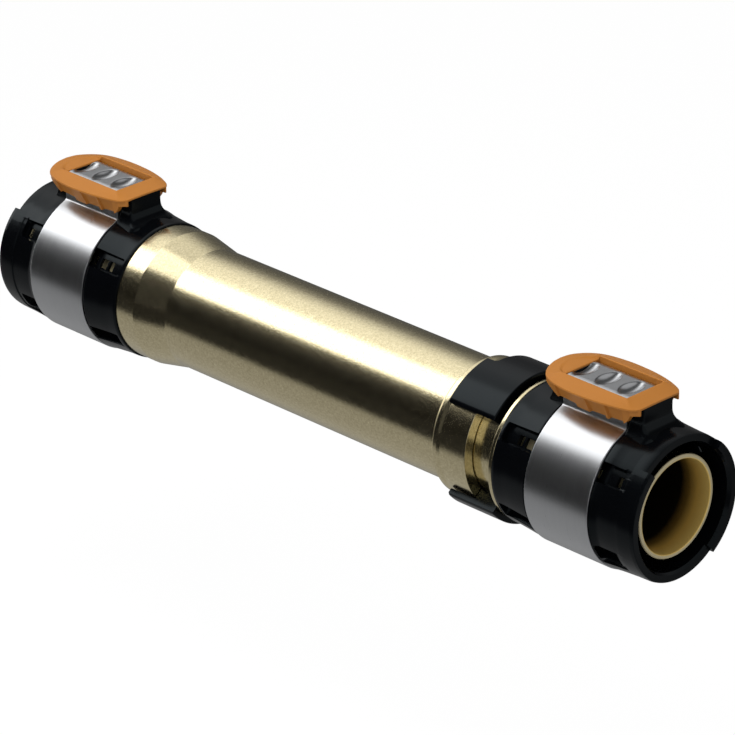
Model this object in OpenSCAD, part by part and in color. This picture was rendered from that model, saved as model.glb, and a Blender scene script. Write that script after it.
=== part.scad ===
// Pipe repair coupling with a press end on each side, all sizes in mm
// X runs along the coupling to the right-hand end, and Z points to the press lugs
// The origin is the middle of the mouth of the right-hand insert

/* [Pipe ends] */
// Outer radius of the inserts, which go inside the pipe
insert_r = 20.8; // [18.5:0.1:23.5]
// Wall of an insert, between its outer radius and the water way
insert_wall = 2.4; // [2.1:0.1:3.5]
// Gap between an insert and the inside of the pipe
insert_gap = 0.2; // [0.1:0.05:0.3]
// Wall of the pipe that goes over an insert
pipe_wall = 4; // [3.5:0.1:4.5]
// Gap between the pipe and its holder
pipe_gap = 0.4; // [0.3:0.05:0.6]
// Wall of a pipe holder under its press band
holder_wall = 3.95; // [3.5:0.05:4.5]
// From the middle of a press band to the mouth of its insert
tip_reach = 33.2; // [33:0.1:34]
// From the middle of a press band to the face that stops the pipe
stop_reach = 31; // [30.5:0.1:31.2]

/* [Tubes] */
// Distance between the middles of the two press bands
press_span = 281.8; // [260:0.2:330]
// Outer radius of the sliding tube
slide_r = 23.3; // [21:0.1:26]
// Wall of the middle tube
tube_wall = 1.6; // [1.3:0.1:2.5]
// How far the sliding tube reaches into the middle tube
slide_reach = 90; // [60:1:120]
// Height of the left collar above the middle tube
collar_rise = 3; // [2:0.1:4]
// Wall of the end collar, over the end of the middle tube
end_collar_wall = 1.38; // [1:0.02:1.8]
// Height of the flange above the sliding tube
flange_rise = 5.6; // [4:0.1:6.5]

/* [Lock clip] */
// Gap between the clip and the end collar
clip_gap = 0.4; // [0.2:0.05:0.6]
// Wall of the clip, over the end collar
clip_wall = 2.6; // [2:0.1:3.4]
// Half of the angle that the clip is open over, towards the front
clip_half_open = 39; // [35:0.5:42]
// Width of the clip's back, along the coupling
clip_back = 18.8; // [17:0.1:20]

/* [Press ends] */
// Sheet thickness of a press band
band_t = 1.4; // [1.2:0.05:1.6]
// Width of a press band, along the coupling
band_w = 31.9; // [28:0.1:36]
// Half width of the raised lug on a press band
lug_half = 10; // [9:0.1:11]
// Height of the lug above the round part of its band
lug_rise = 10.4; // [9:0.1:12]
// Depth of the three dimples in the lug
dimple_depth = 2.2; // [1.6:0.1:2.4]

/* [Indicators] */
// Height of the top of an indicator above the lug
plate_rise = 1.3; // [1:0.1:2]
// Half width of an indicator at its middle
plate_half = 17.4; // [15:0.1:19]
// From the middle of an indicator to its rounded end
plate_reach = 26.8; // [26.2:0.1:29]

/* [Hidden] */
$fn = 96;

brass = [0.78, 0.70, 0.50];
steel = [0.74, 0.75, 0.76];
black = [0.06, 0.06, 0.07];
orange = [0.84, 0.53, 0.22];
rubber = [0.03, 0.03, 0.03];
spring = [0.55, 0.55, 0.56];
white = [0.85, 0.85, 0.82];

right_x = -tip_reach;
left_x = right_x - press_span;

// Radii of a press end, from the water way out to the indicator
bore_r = insert_r - insert_wall;
pipe_r = insert_r + insert_gap + pipe_wall;
holder_bore = pipe_r + pipe_gap;
holder_r = holder_bore + holder_wall;
band_inside = holder_r + 0.05;
band_r = band_inside + band_t;
lug_top = band_r + lug_rise;
plate_top = lug_top + plate_rise;
plate_base = plate_top - 2.4;
seat_top = plate_top - 1.9;
plate_end = plate_reach - 1.8;

// Radii of the tubes, the collars and the clip
chamber_r = slide_r + 0.6;
throat = slide_r + 0.15;
seal_floor = slide_r + 2.4;
spigot_r = slide_r + 3.4;
tube_r = chamber_r + tube_wall;
collar_r = tube_r + collar_rise;
end_collar_inside = spigot_r + 0.02;
end_collar_r = end_collar_inside + end_collar_wall;
clip_inside = end_collar_r + clip_gap;
clip_r = clip_inside + clip_wall;
flange_r = slide_r + flange_rise;

// Places along X that hang on the sliding tube's flange
root = -stop_reach - 3.7;
flange_back = right_x + root - 1.7;
gap_end = flange_back - 13.1;
shoulder = gap_end - 16.8;
slide_end = shoulder - slide_reach;
left_root = left_x - root;
collar_end = left_root + 10.4;
cone_end = collar_end + 15.8;

// Places along X in a press end, counted outwards from the middle of its band
band_edge = band_w / 2;
ring_foot = tip_reach - 3.9;
ring_end = tip_reach + 4.4;

// Radii of the grooves in an insert and of the seals that lie in them
groove_r = insert_r - 1.25;
seal_cord = 0.74;
seal_mid = groove_r + seal_cord + 0.02;
seal_reach = 8;

// A shape turned about X from a list of [radius, place along X]
module turned(points) {
    rotate([0, 90, 0]) rotate_extrude() polygon(points);
}

// A ring about X between two radii
module ring(inner, outer, start, end) {
    turned([[inner, start], [outer, start], [outer, end], [inner, end]]);
}

// A prism along X over an outline of [Y, Z]
module along_x(start, end, outline) {
    translate([start, 0, 0]) rotate([90, 0, 90]) linear_extrude(end - start) polygon(outline);
}

// A prism along Y over an outline of [X, Z]
module along_y(half, outline) {
    translate([0, half, 0]) rotate([90, 0, 0]) linear_extrude(2 * half) polygon(outline);
}

// A wedge about X between two angles, counted from the top towards the front
module wedge(start, end, from, to, reach = 60) {
    middle = (from + to) / 2;
    along_x(start, end, [[0, 0], [-reach * sin(from), reach * cos(from)],
        [-reach * sin(middle) * 1.4, reach * cos(middle) * 1.4],
        [-reach * sin(to), reach * cos(to)]]);
}

// A round seal about X
module seal(middle_r, cord, place) {
    translate([place, 0, 0]) rotate([0, 90, 0]) rotate_extrude()
        translate([middle_r, 0]) circle(cord, $fn = 24);
}

// The outer line of an insert from its root to its mouth, as [radius, distance outwards]
function insert_line() = [
    [pipe_r, root], [pipe_r, root + 1.2], [pipe_r - 1.5, root + 1.2],
    [pipe_r - 1.5, root + 2.9], [pipe_r, root + 2.9],
    [pipe_r, -stop_reach], [insert_r, -stop_reach],
    [insert_r, -22], [insert_r - 0.35, -21.2], [insert_r, -21], [insert_r, -20],
    [insert_r - 0.35, -19.2], [insert_r, -19], [insert_r, -18], [insert_r - 0.35, -17.2],
    [insert_r, -17],
    [insert_r, -seal_reach - 1.1], [groove_r, -seal_reach - 1.1],
    [groove_r, -seal_reach + 1.1], [insert_r, -seal_reach + 1.1],
    [insert_r, seal_reach - 1.1], [groove_r, seal_reach - 1.1],
    [groove_r, seal_reach + 1.1], [insert_r, seal_reach + 1.1],
    [insert_r, tip_reach],
    [bore_r + 0.8, tip_reach], [bore_r + 0.6, tip_reach - 0.3], [bore_r, tip_reach - 12]];

// The same line placed along X, with side 1 to the right and -1 to the left
function placed(line, middle, side) = [for (p = line) [p[0], middle + side * p[1]]];

module body_tube() {
    color(brass) turned(concat(placed(insert_line(), left_x, -1), [
        [bore_r, collar_end], [chamber_r, cone_end - 5], [chamber_r, shoulder - 1.4],
        [throat, shoulder - 0.9],
        [throat, shoulder + 0.9], [seal_floor, shoulder + 0.9],
        [seal_floor, shoulder + 3.7], [throat, shoulder + 3.7],
        [throat, shoulder + 5.7], [seal_floor, shoulder + 5.7],
        [seal_floor, shoulder + 8.5], [throat, shoulder + 8.5], [throat, shoulder + 11.2],
        [spigot_r, shoulder + 11.2], [spigot_r, shoulder - 0.05],
        [spigot_r + 0.7, shoulder - 0.05], [spigot_r + 0.7, shoulder - 0.8],
        [tube_r + 0.2, shoulder - 2.2], [tube_r, shoulder - 2.5],
        [tube_r, cone_end], [collar_r, collar_end], [collar_r, left_root + 0.3],
        [collar_r - 0.3, left_root]]));
}

module end_collar() {
    color(brass) turned([
        [end_collar_r, shoulder], [end_collar_r + 0.3, shoulder + 0.3],
        [end_collar_r + 0.3, shoulder + 2.1], [end_collar_r, shoulder + 3.5],
        [end_collar_r, gap_end - 0.3], [end_collar_r - 0.3, gap_end],
        [slide_r + 0.55, gap_end], [slide_r + 0.3, gap_end - 0.25],
        [slide_r + 0.3, gap_end - 3.4], [end_collar_inside, gap_end - 3.4],
        [end_collar_inside, shoulder]]);
}

module slide_tube() {
    color(brass) turned(concat(placed(insert_line(), right_x, 1), [
        [bore_r, right_x + root + 3], [slide_r - 2.4, flange_back - 6],
        [slide_r - 2.4, slide_end], [slide_r - 0.4, slide_end], [slide_r, slide_end + 0.4],
        [slide_r, slide_end + 3], [slide_r - 1.3, slide_end + 3],
        [slide_r - 1.3, slide_end + 4.6], [slide_r, slide_end + 4.6],
        [slide_r, flange_back - 0.4], [slide_r + 0.4, flange_back],
        [flange_r - 0.3, flange_back], [flange_r, flange_back + 0.3],
        [flange_r, right_x + root - 0.3], [flange_r - 0.3, right_x + root]]));
}

module slide_seal_front() {
    color(rubber) seal(slide_r + 1.17, 1.13, shoulder + 7.1);
}

module slide_seal_back() {
    color(rubber) seal(slide_r + 1.17, 1.13, shoulder + 2.3);
}

module guide_ring() {
    color(white) ring(slide_r + 0.06, spigot_r - 0.1, shoulder + 11.25, gap_end - 3.5);
}

module stop_ring() {
    color(spring) difference() {
        ring(slide_r - 1.25, slide_r + 0.5, slide_end + 3.1, slide_end + 4.5);
        along_x(slide_end + 2, slide_end + 6, [[-2, slide_r - 8.3], [2, slide_r - 8.3],
            [2, slide_r + 6.7], [-2, slide_r + 6.7]]);
    }
}

module lock_clip() {
    left = flange_back - 25.6;
    right = flange_back - 1.8;
    back = right - clip_back;
    open = clip_half_open;
    color(black) difference() {
        turned([[clip_inside, left], [clip_r - 0.4, left], [clip_r, left + 0.4],
            [clip_r, right - 0.4], [clip_r - 0.4, right], [slide_r + 0.12, right],
            [slide_r + 0.12, gap_end + 0.35], [clip_inside, gap_end + 0.35]]);
        wedge(left - 1, right + 1, 90 - open, 90 + open);
        translate([0, 0, -40]) linear_extrude(80) polygon([
            [left - 1, -2.9], [back - 2, -2.9], [back - 1.2, -2.75], [back - 0.6, -2.3],
            [back - 0.15, -1.7], [back, -0.9], [back, 40], [left - 1, 40]]);
    }
}

// The holder's outer and inner line, as [radius, distance outwards]
function holder_line() = [
    [holder_r - 0.45, root + 0.1], [holder_r - 0.15, root + 0.5],
    [holder_r - 0.05, root + 5.5], [holder_r + 0.55, -band_edge - 6.05],
    [holder_r + 1.05, -band_edge - 0.95], [holder_r + 0.95, -band_edge - 0.1],
    [holder_r, -band_edge - 0.1], [holder_r, band_edge + 0.1],
    [holder_r + 0.95, band_edge + 0.1], [holder_r + 1.05, band_edge + 0.95],
    [holder_r + 0.55, band_edge + 6.05], [holder_r + 0.15, ring_foot],
    [holder_r - 0.05, ring_end - 0.6], [holder_r - 0.55, ring_end],
    [holder_bore + 1, ring_end], [holder_bore, ring_end - 1], [holder_bore, root + 2.8],
    [pipe_r - 1.35, root + 2.8], [pipe_r - 1.35, root + 1.3], [holder_bore, root + 1.3],
    [holder_bore, root + 0.1]];

// One pedestal under an indicator's end, which stands at the outer side
module pedestal(side) {
    half = lug_half - 1.7;
    flank = [[half, seat_top], [half, holder_r + 6.05], [half + 0.4, holder_r + 4.05],
        [half + 1.3, holder_r + 2.25], [half + 2.9, holder_r + 0.25],
        [half + 5.3, holder_r - 2.55], [half + 5.3, holder_r - 7.35]];
    face = [[7.05, seat_top], [7.05, holder_r + 4.55], [7.55, holder_r + 2.95],
        [8.65, holder_r + 1.75], [10.45, holder_r + 0.95], [13.05, holder_r + 0.45],
        [15.05, holder_r - 0.75], [15.05, holder_r - 9.35]];
    intersection() {
        along_x(-40, 40, concat([for (p = flank) [p[0], p[1]]],
            [for (i = [len(flank) - 1:-1:0]) [-flank[i][0], flank[i][1]]]));
        along_y(20, concat([[side * (band_edge + 0.15), holder_r - 9.35],
            [side * (band_edge + 0.15), seat_top]],
            [for (p = face) [side * (band_edge + p[0]), p[1]]]));
    }
}

// One window through the floor of a front or back pocket
module window(from, to, low, high) {
    wedge(from, to, low, high, holder_bore + 2.6);
    wedge(from, to, -high, -low, holder_bore + 2.6);
}

// A press end's holder around its own middle, with side 1 outwards to the right
module holder(side) {
    difference() {
        union() {
            turned(placed(holder_line(), 0, side));
            pedestal(1);
            pedestal(-1);
        }
        // The pipe's room under the pedestals
        ring(0.01, holder_bore, min(side * (root + 2.85), side * tip_reach),
            max(side * (root + 2.85), side * tip_reach));
        // Four long pockets that let the holder close in
        for (turn = [47, 115]) {
            place = turn == 47 ? [47, 62] : [115, 130];
            intersection() {
                ring(holder_bore + 1.3, holder_r + 10, min(side * (root + 2), side * (ring_foot - 2)),
                    max(side * (root + 2), side * (ring_foot - 2)));
                union() {
                    wedge(-stop_reach - 9, stop_reach + 9, place[0], place[1]);
                    wedge(-stop_reach - 9, stop_reach + 9, -place[1], -place[0]);
                }
            }
        }
        // The shallow step in front of the end ring
        intersection() {
            ring(holder_r - 0.25, holder_r + 10, min(side * (band_edge + 0.85), side * ring_foot),
                max(side * (band_edge + 0.85), side * ring_foot));
            union() {
                wedge(-ring_end, ring_end, 47, 134);
                wedge(-ring_end, ring_end, -134, -47);
            }
        }
        // Windows that show how far in the pipe is
        for (span = [[12.2, 15.2], [23.4, 26.1], [-17, -14.9], [-23, -19.2], [-26.8, -24.1]])
            window(min(side * span[0], side * span[1]), max(side * span[0], side * span[1]),
                52, 60.5);
        // The end ring is set back at the top and at the bottom
        for (span = [[-42, 42], [144, 216]])
            wedge(side > 0 ? tip_reach + 0.9 : -ring_end - 2, side > 0 ? ring_end + 2 :
                -tip_reach - 0.9, span[0], span[1]);
    }
}

// A spindle along Y that forms one dimple, and that is grown by a margin
module spindle(grow) {
    reach = 10.7;
    rotate([90, 0, 0]) rotate_extrude() polygon(concat([[0, -8.2]],
        [for (y = [-8.2:1.64:8.21]) [sqrt(reach * reach - y * y) - 6.5 + grow, y]],
        [[0, 8.2]]));
}

// A press band around its own middle
module band() {
    difference() {
        union() {
            difference() {
                translate([-band_edge, 0, 0]) rotate([90, 0, 90]) linear_extrude(band_w) union() {
                    circle(band_r);
                    translate([-lug_half, 0]) square([2 * lug_half, lug_top]);
                }
                translate([-band_edge - 1, 0, 0]) rotate([90, 0, 90]) linear_extrude(band_w + 2)
                    union() {
                        circle(band_inside);
                        translate([band_t - lug_half, 0])
                            square([2 * (lug_half - band_t), lug_top - band_t]);
                    }
            }
            intersection() {
                for (place = [-13.7, -2.2, 9.3])
                    translate([place, 0, lug_top + 4.2 - dimple_depth]) spindle(band_t - 0.1);
                translate([-band_edge, band_t - lug_half + 0.1, lug_top - 6.2])
                    cube([band_w, 2 * (lug_half - band_t - 0.1), 6]);
            }
        }
        for (place = [-13.7, -2.2, 9.3])
            translate([place, 0, lug_top + 4.2 - dimple_depth]) spindle(0);
    }
}

// The outline of an indicator's plate, drawn in by a margin
module plate_outline(inset) {
    bow = 60;
    intersection() {
        translate([0, plate_half - bow]) circle(bow - inset, $fn = 240);
        translate([0, bow - plate_half]) circle(bow - inset, $fn = 240);
        circle(plate_reach - inset, $fn = 160);
        translate([-40, -30]) square([40 + plate_end - inset, 60]);
    }
}

// An indicator around the middle of its band
module indicator() {
    difference() {
        union() {
            // The plate, whose top slopes down from the window to the rim
            intersection() {
                translate([0, 0, plate_base]) linear_extrude(2.4) plate_outline(0);
                along_x(-40, 40, [[-plate_half - 1, plate_base - 1],
                    [-plate_half - 1, plate_top - 1.49], [-lug_half - 0.5, plate_top],
                    [lug_half + 0.5, plate_top], [plate_half + 1, plate_top - 1.49],
                    [plate_half + 1, plate_base - 1]]);
                along_y(20, [[-plate_reach - 1, plate_base - 1],
                    [-plate_reach - 1, plate_top - 0.76], [-band_edge - 0.4, plate_top],
                    [band_edge + 0.4, plate_top], [plate_end + 1, plate_top - 1.45],
                    [plate_end + 1, plate_base - 1]]);
            }
            // Skirts along both sides of the lug, under the plate
            for (side = [-1, 1]) intersection() {
                translate([0, 0, plate_top - 12]) linear_extrude(10) plate_outline(0.4);
                translate([0, 0, plate_top]) {
                    translate([0, side * (lug_half + 1.1), 0]) along_y(0.9, [
                        [4.2 - plate_reach, -2.2], [4.2 - plate_reach, -4.2], [-18.5, -7],
                        [-14.6, -8.9], [-9, -9.2], [16.8, -8.7], [19.2, -7.2],
                        [20.4, -5.6], [plate_end - 0.6, -4.2], [plate_end - 0.6, -2.2]]);
                    for (gusset = [[-15, -11.5], [-3.4, 0.6], [16.4, 19]])
                        translate([0, side * lug_half, 0]) along_x(gusset[0], gusset[1], [
                            [side * 1, -2.2], [side * 5, -2.2], [side * 2.6, -6.5],
                            [side * 2.2, -7.9], [side * 1, -7.9]]);
                }
            }
        }
        // The window around the lug
        translate([-band_edge - 0.12, -lug_half - 0.19, plate_top - 12.5])
            cube([band_w + 0.24, 2 * lug_half + 0.38, 20]);
        // The seats on the two pedestals
        translate([-band_edge - 9.05, 1.5 - lug_half, seat_top - 10.6])
            cube([band_w + 20, 2 * lug_half - 3, 10.65]);
    }
}

module lock_to(place) {
    translate([place, 0, 0]) children();
}

module left_holder() {
    color(black) lock_to(left_x) holder(-1);
}

module right_holder() {
    color(black) lock_to(right_x) holder(1);
}

module left_band() {
    color(steel) lock_to(left_x) band();
}

module right_band() {
    color(steel) lock_to(right_x) band();
}

module left_indicator() {
    color(orange) lock_to(left_x) indicator();
}

module right_indicator() {
    color(orange) lock_to(right_x) indicator();
}

module left_seal_outer() {
    color(rubber) seal(seal_mid, seal_cord, left_x - seal_reach);
}

module left_seal_inner() {
    color(rubber) seal(seal_mid, seal_cord, left_x + seal_reach);
}

module right_seal_outer() {
    color(rubber) seal(seal_mid, seal_cord, right_x + seal_reach);
}

module right_seal_inner() {
    color(rubber) seal(seal_mid, seal_cord, right_x - seal_reach);
}

module left_stop_ring() {
    color(black) ring(insert_r + 0.05, holder_bore - 0.3, left_x + stop_reach - 1.2,
        left_x + stop_reach - 0.02);
}

module right_stop_ring() {
    color(black) ring(insert_r + 0.05, holder_bore - 0.3, right_x - stop_reach + 0.02,
        right_x - stop_reach + 1.2);
}

body_tube();
end_collar();
slide_tube();
slide_seal_front();
slide_seal_back();
guide_ring();
stop_ring();
lock_clip();
left_holder();
right_holder();
left_band();
right_band();
left_indicator();
right_indicator();
left_seal_outer();
left_seal_inner();
right_seal_outer();
right_seal_inner();
left_stop_ring();
right_stop_ring();
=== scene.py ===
"""Dresses the pipe repair coupling: its detailed pieces, finishes, studio light and camera.

Sizes are in millimetres until a mesh is made, X runs along the coupling to its right-hand
end and Z points to the press lugs. Angles round the coupling count from the top towards
the front, which is -Y.
"""

from __future__ import annotations

import logging
import math
from dataclasses import dataclass, field
from enum import Enum
from typing import Iterable, Sequence

import bpy
import numpy as np
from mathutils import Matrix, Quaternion, Vector


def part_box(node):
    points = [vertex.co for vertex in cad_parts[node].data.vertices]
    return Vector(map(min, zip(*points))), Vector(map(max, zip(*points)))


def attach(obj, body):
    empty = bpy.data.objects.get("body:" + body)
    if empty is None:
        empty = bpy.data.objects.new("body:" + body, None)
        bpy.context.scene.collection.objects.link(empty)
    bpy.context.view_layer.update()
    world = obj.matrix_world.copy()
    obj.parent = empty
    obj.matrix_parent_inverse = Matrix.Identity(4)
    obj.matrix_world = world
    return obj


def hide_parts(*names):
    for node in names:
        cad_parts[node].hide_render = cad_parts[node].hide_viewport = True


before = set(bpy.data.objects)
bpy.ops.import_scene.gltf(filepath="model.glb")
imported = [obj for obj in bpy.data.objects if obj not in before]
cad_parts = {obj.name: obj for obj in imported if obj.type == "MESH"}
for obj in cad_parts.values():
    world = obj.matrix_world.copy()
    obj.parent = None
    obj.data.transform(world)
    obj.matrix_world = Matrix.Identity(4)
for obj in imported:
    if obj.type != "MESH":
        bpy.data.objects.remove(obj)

LOG = logging.getLogger("coupling")
MM = 0.001
BUMP_DEPTH = 0.0001
BODY = "root"
PURE_WHITE = (1.0, 1.0, 1.0, 1.0)
Colour = tuple[float, float, float]
Socket = bpy.types.NodeSocket


class Side(Enum):
    """Which end of the coupling a press end closes."""

    LEFT = -1
    RIGHT = 1


class Grain(Enum):
    """How a finish's fine texture runs."""

    SPECKLED = "speckled"
    DRAWN = "drawn"
    MOULDED = "moulded"


@dataclass(frozen=True)
class Gauge:
    """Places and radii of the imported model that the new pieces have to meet, in millimetres."""

    right_x: float
    left_x: float
    band_r: float
    band_edge: float
    lug_top: float
    plate_top: float
    root: float
    ring_end: float
    shoulder: float
    gap_end: float
    collar_r: float
    flange_back: float
    flange_r: float
    slide_end: float
    clip_left: float
    clip_right: float
    clip_r: float
    lug_half: float = 10.0

    @staticmethod
    def from_frame() -> "Gauge":
        """Reads the gauge from the boxes of the CAD nodes.

        Returns:
            The places and radii of the coupling's main pieces.
        """
        nodes = ["right_band", "left_band", "right_indicator", "right_holder"]
        nodes += ["end_collar", "slide_tube", "lock_clip"]
        band, left, plate, holder, collar, slide, clip = (
            [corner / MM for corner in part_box(node)] for node in nodes
        )
        right_x = (band[0].x + band[1].x) / 2
        return Gauge(
            right_x=right_x,
            left_x=(left[0].x + left[1].x) / 2,
            band_r=band[1].y,
            band_edge=(band[1].x - band[0].x) / 2,
            lug_top=band[1].z,
            plate_top=plate[1].z,
            root=holder[0].x - right_x - 0.1,
            ring_end=holder[1].x - right_x,
            shoulder=collar[0].x,
            gap_end=collar[1].x,
            collar_r=collar[1].y - 0.3,
            flange_back=holder[0].x - 1.8,
            flange_r=slide[1].y,
            slide_end=slide[0].x,
            clip_left=clip[0].x,
            clip_right=clip[1].x,
            clip_r=clip[1].z,
        )


class ShaderTree:
    """A small helper that places and joins nodes in a material, a group or the world."""

    def __init__(self, tree: bpy.types.NodeTree) -> None:
        """Takes the tree to build in and empties it."""
        self.tree = tree
        tree.nodes.clear()

    def feed(self, socket: Socket, value: object) -> None:
        """Joins an output socket to an input socket, or gives the input a plain value."""
        if isinstance(value, Socket):
            self.tree.links.new(value, socket)
        else:
            socket.default_value = value

    def node(self, kind: str, **values: object) -> bpy.types.Node:
        """Adds a node, sets its properties and feeds its sockets.

        Args:
            kind: The node's Blender type.
            values: Properties by name, or sockets by name with underscores for spaces.

        Returns:
            The new node.
        """
        made = self.tree.nodes.new(kind)
        for name, value in values.items():
            if hasattr(made, name):
                setattr(made, name, value)
            else:
                self.feed(made.inputs[name.replace("_", " ")], value)
        return made

    def math(self, operation: str, *values: object, clamp: bool = False) -> Socket:
        """Adds a math node and returns its result.

        Args:
            operation: What it does, by Blender's name.
            values: What it works on, as sockets or plain numbers.
            clamp: Whether the result is kept between 0 and 1.

        Returns:
            The result's socket.
        """
        made = self.node("ShaderNodeMath", operation=operation, use_clamp=clamp)
        for socket, value in zip(made.inputs, values):
            self.feed(socket, value)
        return made.outputs["Value"]

    def mix(self, kind: str, factor: object, first: object, second: object) -> Socket:
        """Adds a mix of two numbers (kind FLOAT) or two colours (kind RGBA) by a factor."""
        made = self.node("ShaderNodeMix", data_type=kind, Factor=factor, A=first, B=second)
        return made.outputs["Result"]

    def spread(self, value: Socket, start: float, stop: float, low: float = 0, high: float = 1) -> Socket:
        """Adds a node that takes the span from start to stop to the span from low to high."""
        made = self.node("ShaderNodeMapRange", Value=value)
        for name, edge in (("From Min", start), ("From Max", stop), ("To Min", low), ("To Max", high)):
            made.inputs[name].default_value = edge
        return made.outputs["Result"]

    def ramp(self, factor: Socket, stops: Sequence[tuple[float, Sequence[float]]]) -> Socket:
        """Adds a colour ramp and returns its colour.

        Args:
            factor: What is looked up in the ramp.
            stops: Each stop's place from 0 to 1 and its colour.

        Returns:
            The colour's socket.
        """
        made = self.node("ShaderNodeValToRGB", Fac=factor)
        elements = made.color_ramp.elements
        while len(elements) < len(stops):
            elements.new(0.5)
        for element, (place, colour) in zip(elements, stops):
            element.position = place
            element.color = (*colour, 1.0)
        return made.outputs["Color"]

    def seen(self) -> Socket:
        """1 where the camera, a glossy or a clear surface looks, and 0 for light on a surface."""
        path = self.node("ShaderNodeLightPath").outputs
        either = self.math("MAXIMUM", path["Is Camera Ray"], path["Is Glossy Ray"])
        return self.math("MAXIMUM", either, path["Is Transmission Ray"])


def new_material(name: str) -> tuple[bpy.types.Material, ShaderTree]:
    """A new material and the helper that builds its nodes."""
    material = bpy.data.materials.new(name)
    material.use_nodes = True
    return material, ShaderTree(material.node_tree)


class SharedGroup:
    """A node group that is built once and used by every material that needs it."""

    NAME = ""
    TAKES: tuple[str, ...] = ()
    GIVES: tuple[str, ...] = ()

    @classmethod
    def results(cls, made: ShaderTree, given: bpy.types.NodeOutputs) -> tuple[Socket, ...]:
        """Builds the nodes between what the group takes and what it gives."""
        raise NotImplementedError

    @classmethod
    def tree(cls) -> bpy.types.NodeTree:
        """Builds the group the first time, and finds it again later.

        Returns:
            The group, with its Vector and plain numbers in and its results out.
        """
        found = bpy.data.node_groups.get(cls.NAME)
        if found is not None:
            return found
        group = bpy.data.node_groups.new(cls.NAME, "ShaderNodeTree")
        group.interface.new_socket(name="Vector", in_out="INPUT", socket_type="NodeSocketVector")
        for way, names in (("INPUT", cls.TAKES), ("OUTPUT", cls.GIVES)):
            for name in names:
                group.interface.new_socket(name=name, in_out=way, socket_type="NodeSocketFloat")
        made = ShaderTree(group)
        results = cls.results(made, made.node("NodeGroupInput").outputs)
        made.node("NodeGroupOutput", **dict(zip(cls.GIVES, results)))
        return group


class GrainGroup(SharedGroup):
    """The group that gives every finish its fine surface: a tone and a height."""

    NAME = "fine_surface"
    TAKES = ("Scale", "Coarse Scale", "Share")
    GIVES = ("Tone", "Height")
    CONTRAST = (0.3, 0.7)

    @classmethod
    def results(cls, made: ShaderTree, given: bpy.types.NodeOutputs) -> tuple[Socket, ...]:
        """Two noises at different scales, mixed by the share, and the same with more contrast."""
        noises = []
        for scale, detail, rough in (("Scale", 3.0, 0.6), ("Coarse Scale", 2.0, 0.5)):
            noise = made.node("ShaderNodeTexNoise", Vector=given["Vector"], Detail=detail, Roughness=rough)
            made.feed(noise.inputs["Scale"], given[scale])
            noises.append(noise.outputs["Fac"])
        height = made.mix("FLOAT", given["Share"], *noises)
        return made.spread(height, *cls.CONTRAST), height


class InsideGroup(SharedGroup):
    """The group that marks what lies near the middle line, and how deep inside a mouth."""

    NAME = "near_the_axis"
    TAKES = ("Radius", "Middle", "Half")
    GIVES = ("Mask", "Depth")
    MASK_RISE = 2500.0
    DEPTH_RISE = 40.0

    @classmethod
    def results(cls, made: ShaderTree, given: bpy.types.NodeOutputs) -> tuple[Socket, ...]:
        """The mask is 1 inside the radius, and the depth is 0 at a mouth and 1 at 25 mm inside."""
        x, y, z = made.node("ShaderNodeSeparateXYZ", Vector=given["Vector"]).outputs
        square = made.math("MULTIPLY_ADD", y, y, made.math("MULTIPLY", z, z))
        within = made.math("SUBTRACT", given["Radius"], made.math("SQRT", square))
        apart = made.math("ABSOLUTE", made.math("SUBTRACT", x, given["Middle"]))
        from_mouth = made.math("SUBTRACT", given["Half"], apart)
        mask = made.math("MULTIPLY", within, cls.MASK_RISE, clamp=True)
        return mask, made.math("MULTIPLY", from_mouth, cls.DEPTH_RISE, clamp=True)


@dataclass(frozen=True)
class InsideLook:
    """How a turned piece looks on its insert and in its bore, in millimetres and plain values. The bore's
    colour is painted shade: a painted orange-gold glow at the mouth, darkening to near black inside.
    """

    insert_r: float
    insert_colour: Colour
    insert_share: tuple[tuple[float, float], ...]
    metallic: float
    rough: float
    bore_r: float
    # Painted shade and glow in the bore: colours by depth, from bright orange-gold at the mouth to near
    # black deep inside.
    bore_painted_shade: tuple[tuple[float, Colour], ...]


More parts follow.
